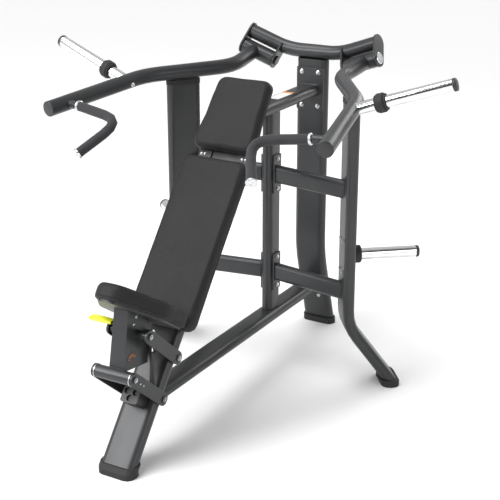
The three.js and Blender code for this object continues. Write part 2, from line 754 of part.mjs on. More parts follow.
// Carriage: a front tube and two side plates, welded to the two pivot tubes.
function carriage() {
  const half = CARRIAGE.halfWidth;
  const outline = [CARRIAGE.faceLow, CARRIAGE.faceTop, CARRIAGE_REAR.top, CARRIAGE_REAR.low];
  const plan = new THREE.Shape(outline.map(([y, z]) => new THREE.Vector2(y, z)));
  const box = new THREE.ExtrudeGeometry(plan, { depth: 2 * half, bevelEnabled: false });
  box.applyMatrix4(aimed([-half, 0, 0], [1, 0, 0], [0, 1, 0]));
  const frontTube = 46;
  const hollowPlan = new THREE.Shape([
    [CARRIAGE.faceLow[0] + frontTube, CARRIAGE.faceLow[1] - 60],
    [CARRIAGE.faceTop[0] + frontTube, CARRIAGE.faceTop[1] + 60],
    [CARRIAGE_REAR.top[0] + 40, CARRIAGE_REAR.top[1] + 120],
    [CARRIAGE_REAR.low[0] + 40, CARRIAGE_REAR.low[1] - 60],
  ].map(([y, z]) => new THREE.Vector2(y, z)));
  const innerWidth = 2 * (half - CARRIAGE.wall);
  const hollow = new THREE.ExtrudeGeometry(hollowPlan, { depth: innerWidth, bevelEnabled: false });
  hollow.applyMatrix4(aimed([-half + CARRIAGE.wall, 0, 0], [1, 0, 0], [0, 1, 0]));
  const reach = LINK.x - LINK.thickness / 2 - 1;
  const crossTube = cylinder(CROSS_TUBE / 2, shift(carriageLow, -reach), shift(carriageLow, reach));
  const boss = cylinder(PIVOT_BOSS / 2, shift(carriageHigh, -reach), shift(carriageHigh, reach));
  // The stud for the gas spring's upper eye stops just short of it.
  const [studY, studZ] = GAS.high;
  const studEnd = GAS.x - EYE.width / 2 - 2 * GAP;
  const stud = cylinder(EYE.stud / 2 + 2, [half - 2, studY, studZ], [studEnd, studY, studZ], 12);
  let body = solid(box).subtract(solid(hollow)).add(solid(crossTube)).add(solid(boss)).add(solid(stud));
  for (const point of [carriageLow, carriageHigh]) {
    body = body.subtract(solid(cylinder(PIN.shaft / 2 + GAP, shift(point, -120), shift(point, 120))));
  }
  return body;
}

// ---------------------------------------------------------------------- seat

// A slab in the seat's frame: s runs rearward along the seat, depth down from its top.
const seatRear = [0, Math.cos(SEAT.tilt), -Math.sin(SEAT.tilt)];
const seatUp = [0, Math.sin(SEAT.tilt), Math.cos(SEAT.tilt)];

function onSeat(x, s, depth) {
  return [
    x,
    SEAT.frontY + s * seatRear[1] - depth * seatUp[1],
    SEAT.frontZ + s * seatRear[2] - depth * seatUp[2],
  ];
}

function seatPlan(inset) {
  return [
    [-SEAT.halfFront + inset, inset],
    [SEAT.halfFront - inset, inset],
    [SEAT.halfRear - inset, SEAT_SHAPE.flareEnd],
    [SEAT.halfRear - inset, SEAT.length - inset],
    [-SEAT.halfRear + inset, SEAT.length - inset],
    [-SEAT.halfRear + inset, SEAT_SHAPE.flareEnd],
  ];
}

// The plan of the seat is drawn in x and s, seen from above.
function ontoSeat(slab, depth) {
  const place = new THREE.Matrix4().makeBasis(vec([1, 0, 0]), vec(seatRear), vec(seatUp));
  return slab.applyMatrix4(place.setPosition(vec(onSeat(0, 0, depth))));
}

const boardLow = SEAT_SHAPE.thickness + GAP + BOARD.thickness;
add('seat_pad', finishes.leather, ontoSeat(
  cushion(seatPlan(0), SEAT_SHAPE.corner, SEAT_SHAPE.thickness),
  SEAT_SHAPE.thickness,
));
const seatSlab = board(seatPlan(BOARD.inset), SEAT_SHAPE.corner, BOARD.thickness);
add('seat_board', finishes.plastic, ontoSeat(seatSlab, boardLow));

add('seat_carriage', finishes.frame, geometryOf(
  trimmed(carriage(), onSeat(0, 0, boardLow + GAP), seatUp),
));

// ---------------------------------------------------------------- gas spring

const gasLow = [GAS.x, ...GAS.low];
const gasHigh = [GAS.x, ...GAS.high];

function gasEye(point) {
  const half = EYE.width / 2;
  const eye = solid(cylinder(EYE.outer / 2, shift(point, -half), shift(point, half)));
  return eye.subtract(eyeBore(point));
}

function eyeBore(point) {
  return solid(cylinder(EYE.stud / 2 + GAP, shift(point, -20), shift(point, 20), 12));
}

function gasCylinder() {
  const reach = (distance) => along(gasLow, gasHigh, distance);
  const body = solid(cylinder(GAS.body / 2, reach(8), reach(GAS.bodyEnd)));
  const bore = solid(cylinder(GAS.rod / 2 + GAP, reach(13), reach(400), 12));
  return gasEye(gasLow).add(body).subtract(bore).subtract(eyeBore(gasLow));
}

function gasRod() {
  const rod = solid(cylinder(GAS.rod / 2, along(gasLow, gasHigh, GAS.rodStart), gasHigh, 12));
  return rod.add(gasEye(gasHigh)).subtract(eyeBore(gasHigh));
}

add('gas_cylinder', finishes.plastic, geometryOf(gasCylinder()));
add('gas_rod', finishes.chrome, geometryOf(gasRod()));

// --------------------------------------------------------------------- lever

// A flat paddle that reaches out to the user's right from the carriage.
function lever() {
  const half = LEVER.width / 2;
  const corners = [[0, -half + 6], [-LEVER.reach, -half], [-LEVER.reach, half], [0, half - 6]];
  const plan = roundedPlan(corners, 14);
  const paddle = new THREE.ExtrudeGeometry(plan, { depth: LEVER.thickness, bevelEnabled: false });
  paddle.translate(...LEVER.pivot);
  return paddle;
}

add('release_lever', finishes.lever, lever());

// The origin sits on the floor, under the middle of the machine's box.
const bounds = new THREE.Box3().setFromObject(machine);
machine.position.y = -(bounds.min.y + bounds.max.y) / 2;

export default machine;
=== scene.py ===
"""Plate-loaded shoulder press machine: finishes, upholstery, fasteners and small trim over the CAD frame."""
import json
import math
import random

import bmesh
import bpy
import numpy as np
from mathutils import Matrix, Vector
from mathutils.bvhtree import BVHTree
from mathutils.kdtree import KDTree


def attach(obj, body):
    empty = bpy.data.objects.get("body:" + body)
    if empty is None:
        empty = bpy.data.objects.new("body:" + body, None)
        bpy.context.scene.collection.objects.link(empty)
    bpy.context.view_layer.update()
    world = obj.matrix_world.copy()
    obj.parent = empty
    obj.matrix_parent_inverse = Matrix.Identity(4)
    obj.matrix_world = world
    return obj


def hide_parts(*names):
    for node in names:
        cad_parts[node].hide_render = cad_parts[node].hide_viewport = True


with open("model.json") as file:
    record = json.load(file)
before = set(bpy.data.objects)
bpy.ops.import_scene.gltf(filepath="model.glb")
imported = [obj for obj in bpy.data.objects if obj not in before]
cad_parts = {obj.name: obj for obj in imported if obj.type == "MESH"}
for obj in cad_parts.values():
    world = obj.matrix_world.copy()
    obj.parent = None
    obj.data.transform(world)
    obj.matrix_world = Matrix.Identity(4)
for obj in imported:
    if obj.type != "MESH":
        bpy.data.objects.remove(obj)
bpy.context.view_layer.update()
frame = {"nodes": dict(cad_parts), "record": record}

MM = 0.001
X, Y = Vector((1, 0, 0)), Vector((0, 1, 0))
nodes = frame["nodes"]


# ------------------------------------------------------------------ places
# Places are written in the drawing's millimetres; at() turns them into the machine's metres.
RECLINE = math.radians(38.5)
SPINE_FLOOR_Y = -857.0
SHIFT_Y = 4.2745
UP = Vector((0, math.sin(RECLINE), math.cos(RECLINE)))
FORWARD = Vector((0, -math.cos(RECLINE), math.sin(RECLINE)))
SEAT_TILT = math.radians(34)
SEAT_REAR = Vector((0, math.cos(SEAT_TILT), -math.sin(SEAT_TILT)))
SEAT_UP = Vector((0, math.sin(SEAT_TILT), math.cos(SEAT_TILT)))
SEAT_FRONT = Vector((0, -848, 776))
POST_TURN = math.radians(38)
POST_AT = Vector((405, 272, 0))


def at(x, y, z):
    return Vector((x, y + SHIFT_Y, z)) * MM


def on_spine(x, n, t):
    return at(x, SPINE_FLOOR_Y + n * FORWARD.y + t * UP.y, n * FORWARD.z + t * UP.z)


def on_seat(x, s, depth):
    p = SEAT_FRONT + SEAT_REAR * s - SEAT_UP * depth
    return at(x, p.y, p.z)


def on_post(x, y, z, side=1):
    c, s = math.cos(POST_TURN), math.sin(POST_TURN)
    return at(side * (POST_AT.x + x * c - y * s), POST_AT.y + x * s + y * c, z)


def post_way(x, y, z, side=1):
    c, s = math.cos(POST_TURN), math.sin(POST_TURN)
    return Vector((side * (x * c - y * s), x * s + y * c, z))


def flip(vector, side):
    return Vector((side * vector.x, vector.y, vector.z))


# --------------------------------------------------------------- materials
def shader(name, color, roughness, metallic=0.0, **extra):
    material = bpy.data.materials.new(name)
    material.use_nodes = True
    tree = material.node_tree
    bsdf = tree.nodes["Principled BSDF"]
    bsdf.inputs["Base Color"].default_value = (*color, 1)
    bsdf.inputs["Roughness"].default_value = roughness
    bsdf.inputs["Metallic"].default_value = metallic
    for key, value in extra.items():
        bsdf.inputs[key.replace("_", " ")].default_value = value
    return material, tree, bsdf


def node(tree, kind, inputs=None, **settings):
    made = tree.nodes.new(kind)
    for key, value in settings.items():
        setattr(made, key, value)
    for key, value in (inputs or {}).items():
        if isinstance(value, bpy.types.NodeSocket):
            tree.links.new(value, made.inputs[key])
        else:
            made.inputs[key].default_value = value
    return made


def noise(tree, where, scale, detail=3.0, roughness=0.5):
    inputs = {"Vector": where, "Scale": scale, "Detail": detail, "Roughness": roughness}
    return node(tree, "ShaderNodeTexNoise", inputs).outputs["Fac"]


def spread(tree, value, low, high, from_low=0.3, from_high=0.7):
    made = node(tree, "ShaderNodeMapRange", {
        "Value": value, "From Min": from_low, "From Max": from_high, "To Min": low, "To Max": high,
    })
    return made.outputs["Result"]


def maths(tree, operation, a, b):
    return node(tree, "ShaderNodeMath", {0: a, 1: b}, operation=operation).outputs["Value"]


def two_tone(tree, bsdf, factor, dark, light):
    mix = node(tree, "ShaderNodeMix", {"Factor": factor}, data_type="RGBA")
    mix.inputs["A"].default_value = (*dark, 1)
    mix.inputs["B"].default_value = (*light, 1)
    tree.links.new(mix.outputs["Result"], bsdf.inputs["Base Color"])
    return mix


def bumped(tree, bsdf, heights, edge=0.0):
    """Stacks (height, strength, depth in metres) bumps, over softened edges where edge is a radius."""
    normal = None
    if edge:
        normal = node(tree, "ShaderNodeBevel", {"Radius": edge}, samples=4).outputs["Normal"]
    for height, strength, depth in heights:
        inputs = {"Height": height, "Strength": strength, "Distance": depth}
        if normal:
            inputs["Normal"] = normal
        normal = node(tree, "ShaderNodeBump", inputs).outputs["Normal"]
    tree.links.new(normal, bsdf.inputs["Normal"])


def edge_mask(tree, radius):
    """1 on worn corners, 0 on open faces: how far a rounded normal leaves the true one."""
    rounded = node(tree, "ShaderNodeBevel", {"Radius": radius}, samples=4).outputs["Normal"]
    flat = node(tree, "ShaderNodeNewGeometry").outputs["True Normal"]
    dot = node(tree, "ShaderNodeVectorMath", {0: rounded, 1: flat}, operation="DOT_PRODUCT")
    return spread(tree, dot.outputs["Value"], 1.0, 0.0, 0.80, 0.985)


def powder_coat(name, dark, light, roughness=0.4):
    """Baked powder paint: fine orange peel, slow tone drift, and paler, worn corners."""
    material, tree, bsdf = shader(name, dark, roughness, 0.3, Coat_Weight=0.1, Coat_Roughness=0.2)
    where = node(tree, "ShaderNodeTexCoord").outputs["Object"]
    drift = noise(tree, where, 5.0, 4.0)
    grain = noise(tree, where, 420.0, 2.0)
    mix = two_tone(tree, bsdf, spread(tree, drift, 0.0, 1.0, 0.35, 0.65), dark, light)
    patches = spread(tree, noise(tree, where, 38.0), 0.0, 0.55)
    broken = maths(tree, "MULTIPLY", edge_mask(tree, 0.0022), patches)
    worn = node(tree, "ShaderNodeMix", {"Factor": broken, "A": mix.outputs["Result"]}, data_type="RGBA")
    worn.inputs["B"].default_value = (*[min(1, c * 2.1 + 0.02) for c in light], 1)
    tree.links.new(worn.outputs["Result"], bsdf.inputs["Base Color"])
    tree.links.new(spread(tree, grain, roughness - 0.05, roughness + 0.07), bsdf.inputs["Roughness"])
    bumped(tree, bsdf, [(grain, 0.12, 0.0004), (noise(tree, where, 1500.0), 0.06, 0.0002)], 0.0018)
    return material


def leather(name, dark, light):
    """Embossed upholstery vinyl: pebble cells, soft creases and a faint handling sheen."""
    material, tree, bsdf = shader(name, dark, 0.5, 0.0, Sheen_Weight=0.06, Sheen_Roughness=0.4)
    bsdf.inputs["Specular IOR Level"].default_value = 0.16
    where = node(tree, "ShaderNodeTexCoord").outputs["Object"]
    voronoi = node(tree, "ShaderNodeTexVoronoi", {"Vector": where, "Scale": 620.0}, feature="SMOOTH_F1")
    cells = voronoi.outputs["Distance"]
    creases = noise(tree, where, 70.0, 5.0, 0.62)
    drift = noise(tree, where, 7.0, 3.0)
    two_tone(tree, bsdf, spread(tree, drift, 0.0, 1.0, 0.35, 0.65), dark, light)
    tree.links.new(spread(tree, creases, 0.5, 0.6), bsdf.inputs["Roughness"])
    bumped(tree, bsdf, [(cells, 0.18, 0.0003), (creases, 0.03, 0.0003)])
    return material


def rubber(name, tone):
    roughness = 0.72
    material, tree, bsdf = shader(name, (tone, tone, tone * 1.02), roughness)
    where = node(tree, "ShaderNodeTexCoord").outputs["Object"]
    dust = noise(tree, where, 16.0, 5.0)
    two_tone(tree, bsdf, spread(tree, dust, 0.0, 1.0, 0.4, 0.75), (tone,) * 3, (tone * 1.7,) * 3)
    tree.links.new(spread(tree, dust, roughness - 0.08, roughness + 0.1), bsdf.inputs["Roughness"])
    bumped(tree, bsdf, [(noise(tree, where, 900.0, 2.0), 0.25, 0.0003)], 0.0015)
    return material


def foam(name):
    """Closed-cell foam sleeve: dense pores and a few pressed hollows."""
    material, tree, bsdf = shader(name, (0.018, 0.018, 0.02), 0.85, Sheen_Weight=0.1)
    where = node(tree, "ShaderNodeTexCoord").outputs["Object"]
    pores = node(tree, "ShaderNodeTexVoronoi", {"Vector": where, "Scale": 900.0}).outputs["Distance"]
    wear = noise(tree, where, 24.0, 3.0)
    two_tone(tree, bsdf, spread(tree, wear, 0.0, 1.0), (0.015, 0.015, 0.017), (0.034, 0.034, 0.038))
    tree.links.new(spread(tree, wear, 0.7, 0.92), bsdf.inputs["Roughness"])
    bumped(tree, bsdf, [(pores, 0.5, 0.0006), (wear, 0.2, 0.002)])
    return material


def metal(name, tone, roughness, scratch=0.004, edge=0.0):
    material, tree, bsdf = shader(name, tone, roughness, 1.0)
    where = node(tree, "ShaderNodeTexCoord").outputs["Object"]
    smudge = noise(tree, where, 30.0, 4.0)
    two_tone(tree, bsdf, spread(tree, smudge, 0.0, 1.0), tuple(c * 0.9 for c in tone), tone)
    tree.links.new(spread(tree, smudge, roughness * 0.8, roughness * 1.5), bsdf.inputs["Roughness"])
    bumped(tree, bsdf, [(noise(tree, where, 240.0, 3.0), scratch, 0.0002)], edge)
    return material


def moulded(name, dark, light, roughness):
    material, tree, bsdf = shader(name, dark, roughness, Coat_Weight=0.15, Coat_Roughness=0.3)
    where = node(tree, "ShaderNodeTexCoord").outputs["Object"]
    cloud = noise(tree, where, 40.0, 4.0)
    two_tone(tree, bsdf, spread(tree, cloud, 0.0, 1.0), dark, light)
    tree.links.new(spread(tree, cloud, roughness - 0.06, roughness + 0.08), bsdf.inputs["Roughness"])
    bumped(tree, bsdf, [(noise(tree, where, 1100.0, 2.0), 0.2, 0.0002)], 0.0015)
    return material


FINISH = {
    "frame": powder_coat("charcoal_powder_coat", (0.030, 0.031, 0.033), (0.038, 0.039, 0.041), 0.38),
    "rubber": rubber("moulded_rubber", 0.016),
    "plastic": moulded("black_moulded_plastic", (0.014, 0.014, 0.015), (0.024, 0.024, 0.026), 0.45),
    "chrome": metal("chrome_plate", (0.86, 0.87, 0.88), 0.1),
    "aluminium": metal("turned_aluminium", (0.74, 0.75, 0.77), 0.26, 0.04, 0.0008),
    "leather": leather("grained_upholstery", (0.019, 0.019, 0.020), (0.022, 0.022, 0.023)),
    "foam_grip": foam("foam_grip"),
    "lever": moulded("yellow_moulded_plastic", (0.78, 0.80, 0.02), (0.86, 0.88, 0.035), 0.34),
}
WELD = powder_coat("painted_weld", (0.026, 0.027, 0.029), (0.034, 0.035, 0.037), 0.34)
ZINC = metal("zinc_bolt", (0.62, 0.63, 0.65), 0.24, 0.02, 0.0006)
TICK = moulded("dial_tick_print", (0.62, 0.2, 0.04), (0.7, 0.24, 0.05), 0.5)
STITCH = moulded("stitch_thread", (0.03, 0.03, 0.032), (0.055, 0.055, 0.058), 0.7)
LABEL = moulded("blank_label_film", (0.78, 0.78, 0.76), (0.84, 0.84, 0.82), 0.4)
LABEL_BAND = moulded("label_band_film", (0.75, 0.24, 0.03), (0.8, 0.28, 0.04), 0.4)


# ---------------------------------------------------- the carried-over nodes
def soften(mesh, limit=math.radians(40)):
    """Smooth shading across shallow edges only, with the vertices left where they are."""
    corners = {}
    for polygon in mesh.polygons:
        for vertex in polygon.vertices:
            key = tuple(round(c * 50000) for c in mesh.vertices[vertex].co)
            corners.setdefault(key, []).append((polygon.normal.copy(), polygon.area))
    cosine = math.cos(limit)
    normals = []
    for polygon in mesh.polygons:
        polygon.use_smooth = True
        for vertex in polygon.vertices:
            key = tuple(round(c * 50000) for c in mesh.vertices[vertex].co)
            total = Vector()
            for normal, area in corners[key]:
                if normal.dot(polygon.normal) > cosine:
                    total += normal * area
            normals.append(total.normalized() if total.length > 0 else polygon.normal.copy())
    mesh.normals_split_custom_set(normals)


slot_of = {row["node"]: row["material_slot"] for row in frame["record"]["subparts"]}
for name, piece in nodes.items():
    soften(piece.data)
    for material_slot in piece.material_slots:
        material_slot.material = FINISH[slot_of[name]]


def paint(name, material, chosen):
    """Gives part of a node another finish."""
    mesh = nodes[name].data
    mesh.materials.append(material)
    for polygon in mesh.polygons:
        if chosen(polygon.center):
            polygon.material_index = len(mesh.materials) - 1


def on_block(point):
    y, z = point.y / MM - SHIFT_Y - SPINE_FLOOR_Y, point.z / MM
    n, t = y * FORWARD.y + z * FORWARD.z, y * UP.y + z * UP.z
    return n > 27 and 255 < t < 333 and abs(point.x) < 0.0385


AXLE_INNER = 0.18
paint("front_spine", FINISH["plastic"], on_block)
for name in ("left_pivot_axle", "right_pivot_axle"):
    paint(name, FINISH["frame"], lambda point: abs(point.x) < AXLE_INNER)
for name in ("lower_spine_pin", "upper_spine_pin", "lower_carriage_pin", "upper_carriage_pin"):
    nodes[name].material_slots[0].material = FINISH["frame"]


# ------------------------------------------------------------ piece helpers
def finish_piece(name, bm, body, material, smooth=math.radians(38)):
    mesh = bpy.data.meshes.new(name)
    bmesh.ops.recalc_face_normals(bm, faces=bm.faces)
    bm.to_mesh(mesh)
    bm.free()
    for polygon in mesh.polygons:
        polygon.use_smooth = True
    mesh.set_sharp_from_angle(angle=smooth)
    piece = bpy.data.objects.new(name, mesh)
    bpy.context.scene.collection.objects.link(piece)
    piece.data.materials.append(material)
    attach(piece, body)
    return piece


def basis(direction):
    z = direction.normalized()
    hint = X if abs(z.x) < 0.9 else Y
    y = z.cross(hint).normalized()
    x = y.cross(z)
    return x, y, z


def lathe(bm, profile, origin, direction, segments=40):
    """Turned solid of (radius, distance) pairs in mm along a direction from an origin in metres."""
    x, y, z = basis(direction)
    rings = []
    for radius, distance in profile:
        centre = origin + z * distance * MM
        if radius == 0:
            rings.append([bm.verts.new(centre)])
            continue
        ring = []
        for i in range(segments):
            a = 2 * math.pi * i / segments
            ring.append(bm.verts.new(centre + (x * math.cos(a) + y * math.sin(a)) * radius * MM))
        rings.append(ring)
    for low, high in zip(rings, rings[1:]):
        for i in range(segments):
            j = (i + 1) % segments
            corners = [low[i % len(low)], low[j % len(low)], high[j % len(high)], high[i % len(high)]]
            unique = list(dict.fromkeys(corners))
            if len(unique) > 2:
                bm.faces.new(unique)


def bolt(bm, origin, direction, size=10.0, washer=True):
    """Hex-head bolt: a chamfered washer, a six-sided head and its domed top."""
    if washer:
        lathe(bm, [(0, 0), (size * 1.05, 0), (size * 1.12, 0.5), (size * 1.12, 1.4), (size, 2), (0, 2)],
              origin, direction, 28)
    base = 1.5 if washer else -0.2
    high = base + size * 0.62
    lathe(bm, [(0, base), (size * 0.9, base), (size * 0.9, high - 1), (size * 0.78, high), (0, high)],
          origin, direction, 6)
    lathe(bm, [(0, high - 0.4), (size * 0.74, high - 0.4), (size * 0.6, high + 0.5), (0, high + 0.8)],
          origin, direction, 24)


def button_screw(bm, origin, direction, size=7.0):
    """Domed screw with a round socket sunk into it."""
    dome = [(0, -0.2), (size, -0.2), (size, 0.8), (size * 0.86, 2.6), (size * 0.5, 3.6)]
    socket = [(size * 0.42, 3.7), (size * 0.4, 1.6), (0, 1.5)]
    lathe(bm, dome + socket, origin, direction, 24)


def tube(bm, points, radius, closed=False, sides=8):
    """Round cord through the points, in metres, kept from twisting."""
    count = len(points)
    rings = []
    normal = None
    for i, point in enumerate(points):
        ahead = points[(i + 1) % count] if closed or i < count - 1 else point
        behind = points[i - 1] if closed or i > 0 else point
        way = (ahead - behind).normalized()
        if normal is None:
            normal = way.orthogonal().normalized()
        normal = (normal - way * normal.dot(way)).normalized()
        other = way.cross(normal)
        rings.append([
            bm.verts.new(point + (normal * math.cos(a) + other * math.sin(a)) * radius)
            for a in (2 * math.pi * k / sides for k in range(sides))
        ])
    for i in range(count if closed else count - 1):
        low, high = rings[i], rings[(i + 1) % count]
        offset = 0
        if closed and i == count - 1:
            offset = min(range(sides), key=lambda k: (low[0].co - high[k].co).length)
        for k in range(sides):
            after = (k + 1) % sides
            bm.faces.new([low[k], low[after], high[(after + offset) % sides], high[(k + offset) % sides]])
    if not closed:
        bm.faces.new(rings[0])
        bm.faces.new(rings[-1])


def loop_points(plan, place, step=0.004):
    """Even points around a closed outline of (u, v) pairs in mm, placed by a function."""
    corners = [place(u, v) for u, v in plan]
    points = []
    for a, b in zip(corners, corners[1:] + corners[:1]):
        pieces = max(1, round((b - a).length / step))
        points += [a.lerp(b, i / pieces) for i in range(pieces)]
    return points


WELD_SEED = 1


def oval(width, depth, steps=14):
    reach = (width - depth) / 2
    right = [(reach + depth / 2 * math.cos(a), depth / 2 * math.sin(a))
             for a in (-math.pi / 2 + math.pi * i / steps for i in range(steps + 1))]
    return right + [(-u, -v) for u, v in right]


def weld(bm, plan, place, radius=2.6):
    """A weld bead along an outline, with the slight ripple of its puddles."""
    rng = random.Random(WELD_SEED)
    points = loop_points(plan, place, 0.006)
    middle = sum(points, Vector()) / len(points)
    rippled = [p + (p - middle).normalized() * rng.uniform(-0.5, 0.5) * MM for p in points]
    tube(bm, rippled, radius * MM, closed=True, sides=8)


# --------------------------------------------------------------- upholstery
def inset_plan(points, inset):
    """A convex outline, counter-clockwise, with every edge moved in."""
    lines = []
    for (ax, ay), (bx, by) in zip(points, points[1:] + points[:1]):
        length = math.hypot(bx - ax, by - ay)
        nx, ny = -(by - ay) / length, (bx - ax) / length
        lines.append((nx, ny, nx * ax + ny * ay + inset))
    out = []
    for i, (nx, ny, d) in enumerate(lines):
        px, py, e = lines[i - 1]
        det = px * ny - py * nx
        out.append(((e * ny - d * py) / det, (px * d - nx * e) / det))
    return out


def rounded_plan(points, corner, inset=0.0, steps=7):
    moved = inset_plan(points, inset)
    count = len(moved)
    reach = max(corner - inset * 0.4, 8)
    out = []
    for i in range(count):
        here = Vector(moved[i])
        before = (Vector(moved[i - 1]) - here).normalized()
        after = (Vector(moved[(i + 1) % count]) - here).normalized()
        a, b = here + before * reach, here + after * reach
        for k in range(steps + 1):
            f = k / steps
            p = a * (1 - f) ** 2 + here * 2 * f * (1 - f) + b * f ** 2
            out.append((p.x, p.y))
    return out


def loft(plans_and_heights, place):
    bm = bmesh.new()
    rings = [[bm.verts.new(place(u, v, h)) for u, v in plan] for plan, h in plans_and_heights]
    for low, high in zip(rings, rings[1:]):
        for i in range(len(low)):
            j = (i + 1) % len(low)
            bm.faces.new([low[i], low[j], high[j], high[i]])
    bm.faces.new(list(reversed(rings[0])))
    bm.faces.new(rings[-1])
    bmesh.ops.recalc_face_normals(bm, faces=bm.faces)
    return bm


def evaluated_mesh(piece):
    graph = bpy.context.evaluated_depsgraph_get()
    return bpy.data.meshes.new_from_object(piece.evaluated_get(graph))


def with_modifier(piece, kind, **settings):
    modifier = piece.modifiers.new(kind.lower(), kind)
    for key, value in settings.items():
        setattr(modifier, key, value)
    mesh = evaluated_mesh(piece)
    piece.modifiers.clear()
    piece.data = mesh


def averaged(values, edges, rounds):
    """Values per vertex, evened out with their neighbours'."""
    counts = np.bincount(edges.ravel(), minlength=len(values))[:, None]
    for _ in range(rounds):
        total = np.zeros_like(values)
        np.add.at(total, edges[:, 0], values[edges[:, 1]])
        np.add.at(total, edges[:, 1], values[edges[:, 0]])
        values = 0.5 * values + 0.5 * total / counts
    return values


def places(mesh):
    flat = np.zeros(len(mesh.vertices) * 3)
    mesh.vertices.foreach_get("co", flat)
    return flat.reshape(-1, 3)


CLOTH_PRESSURE = 4.0
CLOTH_FRAMES = 20
SMOOTHING_ROUNDS = 25
SIDE_SWELL = 0.25


def inflate(piece, out, cap):
    """Cloth pressure crowns the cover; no point moves further than the cap, in metres."""
    rest = places(piece.data)
    cloth = piece.modifiers.new("cloth", "CLOTH")
    settings = cloth.settings
    settings.quality = 5
    settings.mass = 0.25
    settings.tension_stiffness = 25
    settings.compression_stiffness = 25
    settings.shear_stiffness = 12
    settings.bending_stiffness = 4
    settings.use_pressure = True
    settings.uniform_pressure_force = CLOTH_PRESSURE
    settings.effector_weights.gravity = 0
    scene = bpy.context.scene
    for number in range(1, CLOTH_FRAMES + 1):
        scene.frame_set(number)
    swollen = places(evaluated_mesh(piece))
    piece.modifiers.clear()
    flat = np.zeros(len(piece.data.edges) * 2, dtype=np.int64)
    piece.data.edges.foreach_get("vertices", flat)
    moved = averaged(swollen - rest, flat.reshape(-1, 2), SMOOTHING_ROUNDS)
    lifted = np.outer(moved @ np.array(out), np.array(out))
    moved = lifted + SIDE_SWELL * (moved - lifted)
    length = np.linalg.norm(moved, axis=1, keepdims=True)
    moved *= np.minimum(1, cap / np.maximum(length, 1e-9))
    piece.data.vertices.foreach_set("co", (rest + moved).ravel())
    piece.data.update()
    scene.frame_set(1)


SEAM_REACH = 0.0055
SEAM_DEPTH = 0.0013
PIPING_RADIUS = 0.0012
PIPING_SUNK = 0.0009


def cushion(name, cad_node, body, plan, corner, levels, place, out, rear, seams, cap, voxel):
    """Crowned closed cushion on its board, with piped seams and stitches.

    levels are (height, inset) pairs from the board up and seams are (inset, height) pairs, in mm;
    cap, the furthest that the cloth may lift, and voxel are in metres.
    """
    bm = loft([(rounded_plan(plan, corner, inset), height) for height, inset in levels], place)
    mesh = bpy.data.meshes.new(name)
    bm.to_mesh(mesh)
    bm.free()
    piece = bpy.data.objects.new(name, mesh)
    bpy.context.scene.collection.objects.link(piece)
    with_modifier(piece, "REMESH", mode="VOXEL", voxel_size=voxel)
    inflate(piece, out, cap)
    base = place(0, 0, rear)
    for vertex in piece.data.vertices:
        below = (vertex.co - base).dot(out)
        if below < 0:
            vertex.co -= out * below
    with_modifier(piece, "SMOOTH", factor=0.5, iterations=3)
    with_modifier(piece, "SUBSURF", levels=1, render_levels=1)
    tree = BVHTree.FromObject(piece, bpy.context.evaluated_depsgraph_get())
    paths = []
    for inset, height in seams:
        outline = rounded_plan(plan, corner, inset)
        raw = loop_points(outline, lambda u, v, h=height: place(u, v, h), 0.003)
        hits = [tree.find_nearest(p) for p in raw]
        paths.append(([h[0] for h in hits], [h[1] for h in hits]))
    sink_along(piece, [p for points, _ in paths for p in points], SEAM_REACH, SEAM_DEPTH)
    for polygon in piece.data.polygons:
        polygon.use_smooth = True
    piece.data.materials.clear()
    piece.data.materials.append(FINISH["leather"])
    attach(piece, body)
    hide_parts(cad_node)

    piping = bmesh.new()
    threads = bmesh.new()
    for points, normals in paths:
        sunk = [p - n * PIPING_SUNK for p, n in zip(points, normals)]
        tube(piping, sunk, PIPING_RADIUS, closed=True, sides=8)
        stitches(threads, points, normals)
    finish_piece(name + "_piping", piping, body, FINISH["leather"], math.pi)
    finish_piece(name + "_stitching", threads, body, STITCH, math.pi)


def sink_along(piece, path, reach, depth):
    """Pulls the cover in beside a seam."""
    tree = KDTree(len(path))
    for i, point in enumerate(path):
        tree.insert(point, i)
    tree.balance()
    normals = [v.normal.copy() for v in piece.data.vertices]
    for vertex, normal in zip(piece.data.vertices, normals):
        distance = tree.find(vertex.co)[2]
        if distance < reach:
            fall = math.cos(distance / reach * math.pi / 2) ** 2
            vertex.co -= normal * depth * fall


STITCH_OFFSET = 0.0046
STITCH_RADIUS = 0.0006
STITCH_EVERY = 3


def stitches(bm, points, normals):
    """Short raised stitches on the inner side of a seam."""
    middle = sum(points, Vector()) / len(points)
    for i in range(0, len(points) - 1, STITCH_EVERY):
        a, b = points[i], points[(i + 2) % len(points)]
        n = normals[i]
        way = (b - a).normalized()
        inward = n.cross(way).normalized()
        if inward.dot(middle - a) < 0:
            inward = -inward
        lift = inward * STITCH_OFFSET - n * 0.0008
        mid = (a + b) / 2 + lift + n * 0.0006
        rise, fall = a.lerp(mid, 0.5) + lift * 0.5, b.lerp(mid, 0.5) + lift * 0.5
        tube(bm, [a + lift, rise, mid, fall, b + lift], STITCH_RADIUS, sides=5)


BACK = [(-148, 585), (148, 585), (148, 1289), (-148, 1289)]
HEAD = [(-139, 1334), (139, 1334), (120, 1652), (-120, 1652)]
SEAT = [(-46, 0), (46, 0), (150, 190), (150, 360), (-150, 360), (-150, 190)]


def on_pad(u, v, h):
    return on_spine(u, h, v)


def on_cushion(u, v, h):
    return on_seat(u, v, -h)


